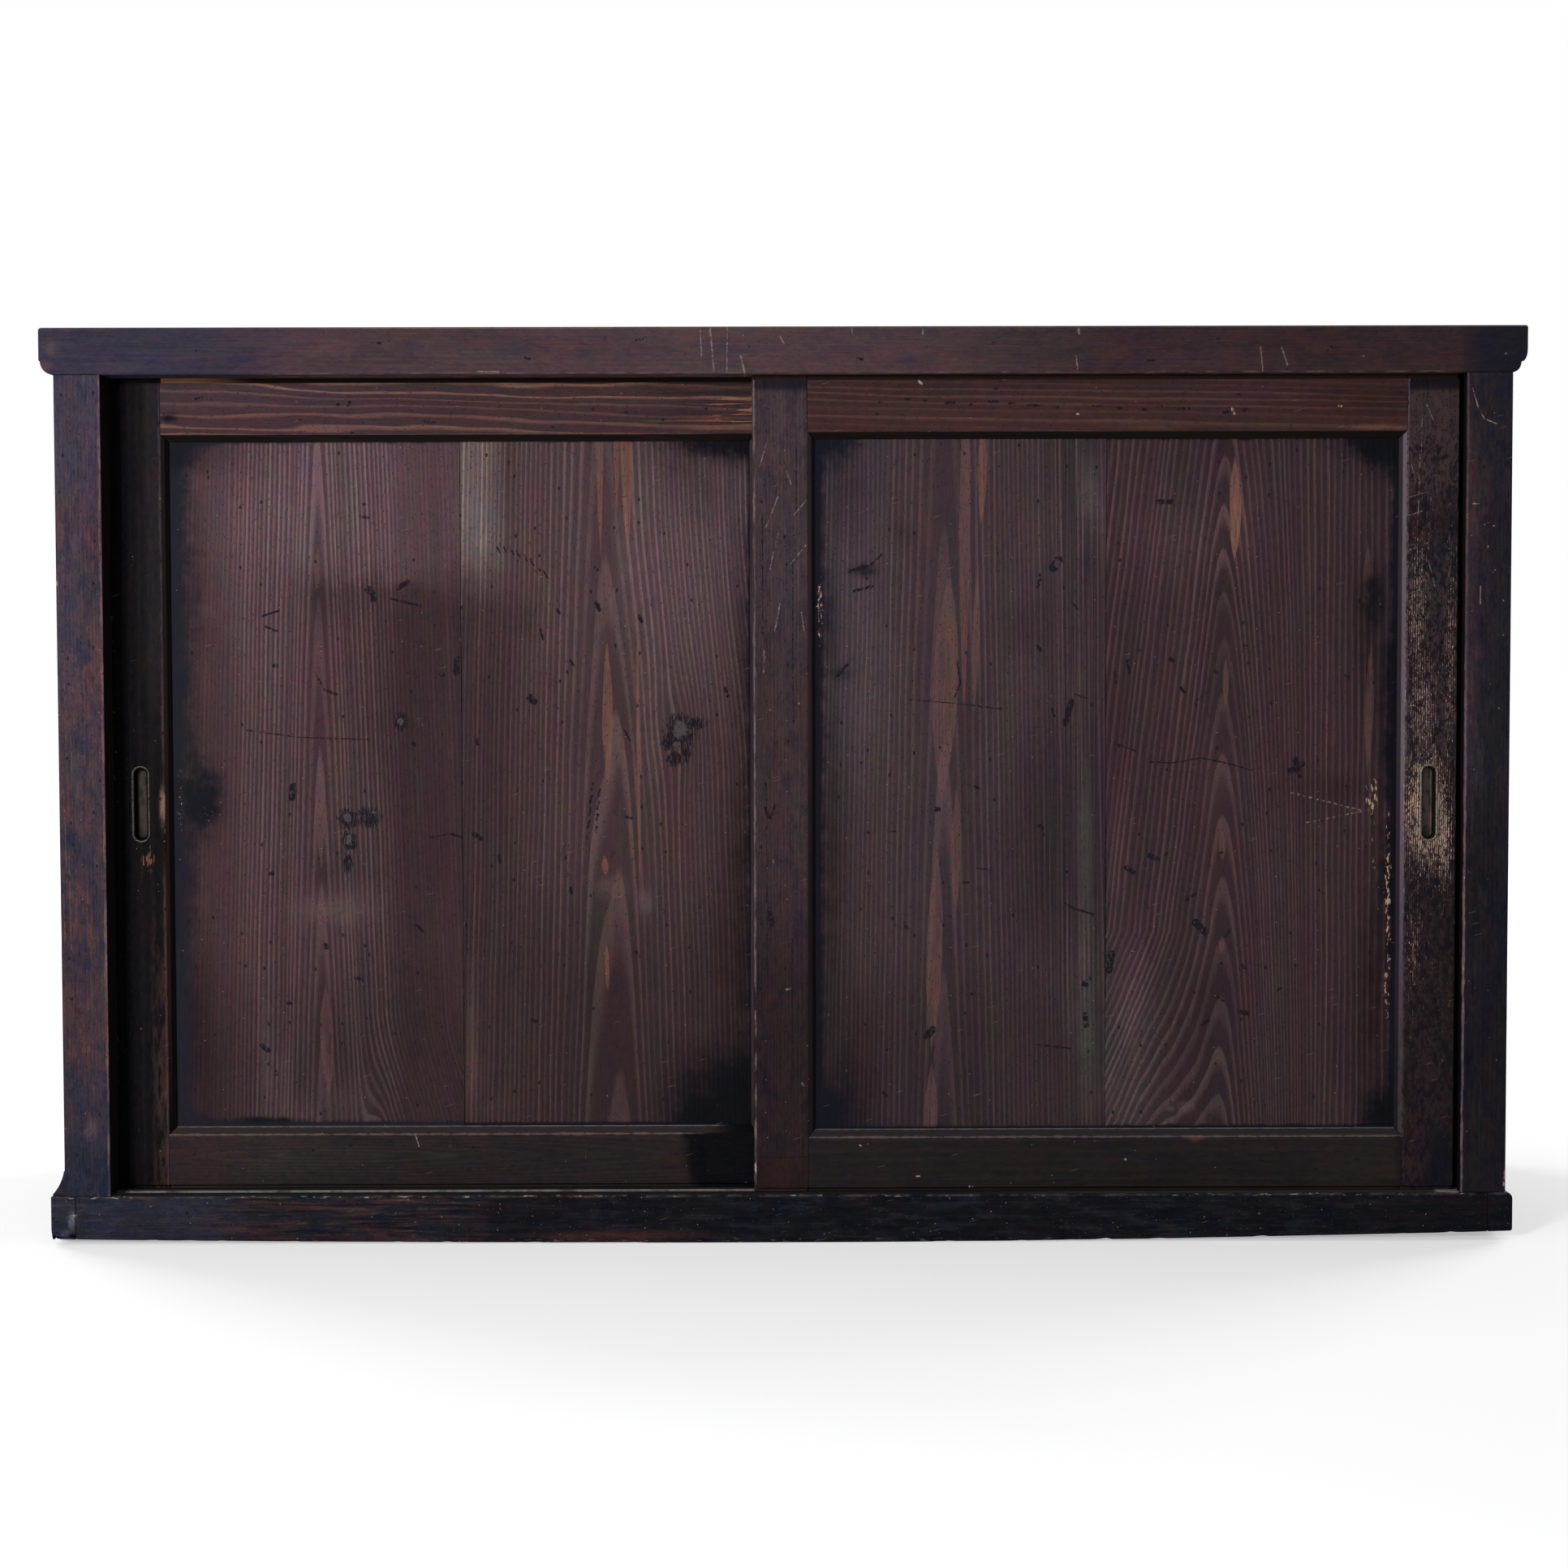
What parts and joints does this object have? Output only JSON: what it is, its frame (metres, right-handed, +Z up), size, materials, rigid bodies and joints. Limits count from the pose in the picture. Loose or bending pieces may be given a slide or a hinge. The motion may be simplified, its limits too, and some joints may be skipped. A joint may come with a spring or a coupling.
{
  "type": "tansu chest",
  "caption": "Low dark-stained cedar chest with sliding panelled doors on two tracks, moulded top, plinth and an inner shelf.",
  "frame": {"origin": "under the middle of the chest, on the face it stands on", "axes": "+X to the right as seen from the front, +Y to the back, +Z up"},
  "size_m": [1.212, 0.4, 0.752],
  "materials": {
    "top_wood": "worn dark stain, open straight grain",
    "post_wood": "worn near-black stain with rubbed edges",
    "plinth_wood": "grimy near-black stain",
    "rail_wood": "worn reddish stain, strong grain",
    "panel_wood": "worn plum-brown stain, raised cathedral grain",
    "inside_wood": "bare aged wood",
    "back_wood": "bare aged wood",
    "pull_metal": "dull dark tarnish"
  },
  "bodies": {
    "case": {"top_board_front": "top_wood", "top_board_rear": "top_wood", "left_front_post": "post_wood", "right_front_post": "post_wood", "left_rear_post": "post_wood", "right_rear_post": "post_wood", "left_side_board_front": "post_wood", "left_side_board_rear": "post_wood", "right_side_board_front": "post_wood", "right_side_board_rear": "post_wood", "plinth_front_rail": "plinth_wood", "plinth_left_rail": "plinth_wood", "plinth_right_rail": "plinth_wood", "plinth_back_rail": "plinth_wood", "plinth_left_cove": "plinth_wood", "floor_board_front": "inside_wood", "floor_board_rear": "inside_wood", "floor_bearer_left": "inside_wood", "floor_bearer_middle": "inside_wood", "floor_bearer_right": "inside_wood", "back_board_1": "back_wood", "back_board_2": "back_wood", "back_board_3": "back_wood", "back_board_4": "back_wood", "back_board_5": "back_wood", "back_board_6": "back_wood", "shelf_board_front": "inside_wood", "shelf_board_rear": "inside_wood", "shelf_front_rail": "inside_wood", "shelf_left_cleat": "inside_wood", "shelf_right_cleat": "inside_wood", "shelf_back_cleat": "inside_wood"},
    "left_door": {"left_door_handle_stile": "post_wood", "left_door_meeting_stile": "post_wood", "left_door_bottom_rail": "rail_wood", "left_door_top_rail": "rail_wood", "left_door_panel_board_left": "panel_wood", "left_door_panel_board_right": "panel_wood", "left_door_lower_batten": "inside_wood", "left_door_upper_batten": "inside_wood", "left_door_finger_pull": "pull_metal"},
    "right_door": {"right_door_handle_stile": "post_wood", "right_door_meeting_stile": "post_wood", "right_door_bottom_rail": "rail_wood", "right_door_top_rail": "rail_wood", "right_door_panel_board_left": "panel_wood", "right_door_panel_board_right": "panel_wood", "right_door_lower_batten": "inside_wood", "right_door_upper_batten": "inside_wood", "right_door_finger_pull": "pull_metal"}
  },
  "joints": [
    {"name": "left_door_slide", "type": "slide", "parent": "case", "child": "left_door", "axis": [1, 0, 0], "range_m": [-0.004, 0.5325]},
    {"name": "right_door_slide", "type": "slide", "parent": "case", "child": "right_door", "axis": [-1, 0, 0], "range_m": [-0.0076, 0.5289]}
  ]
}
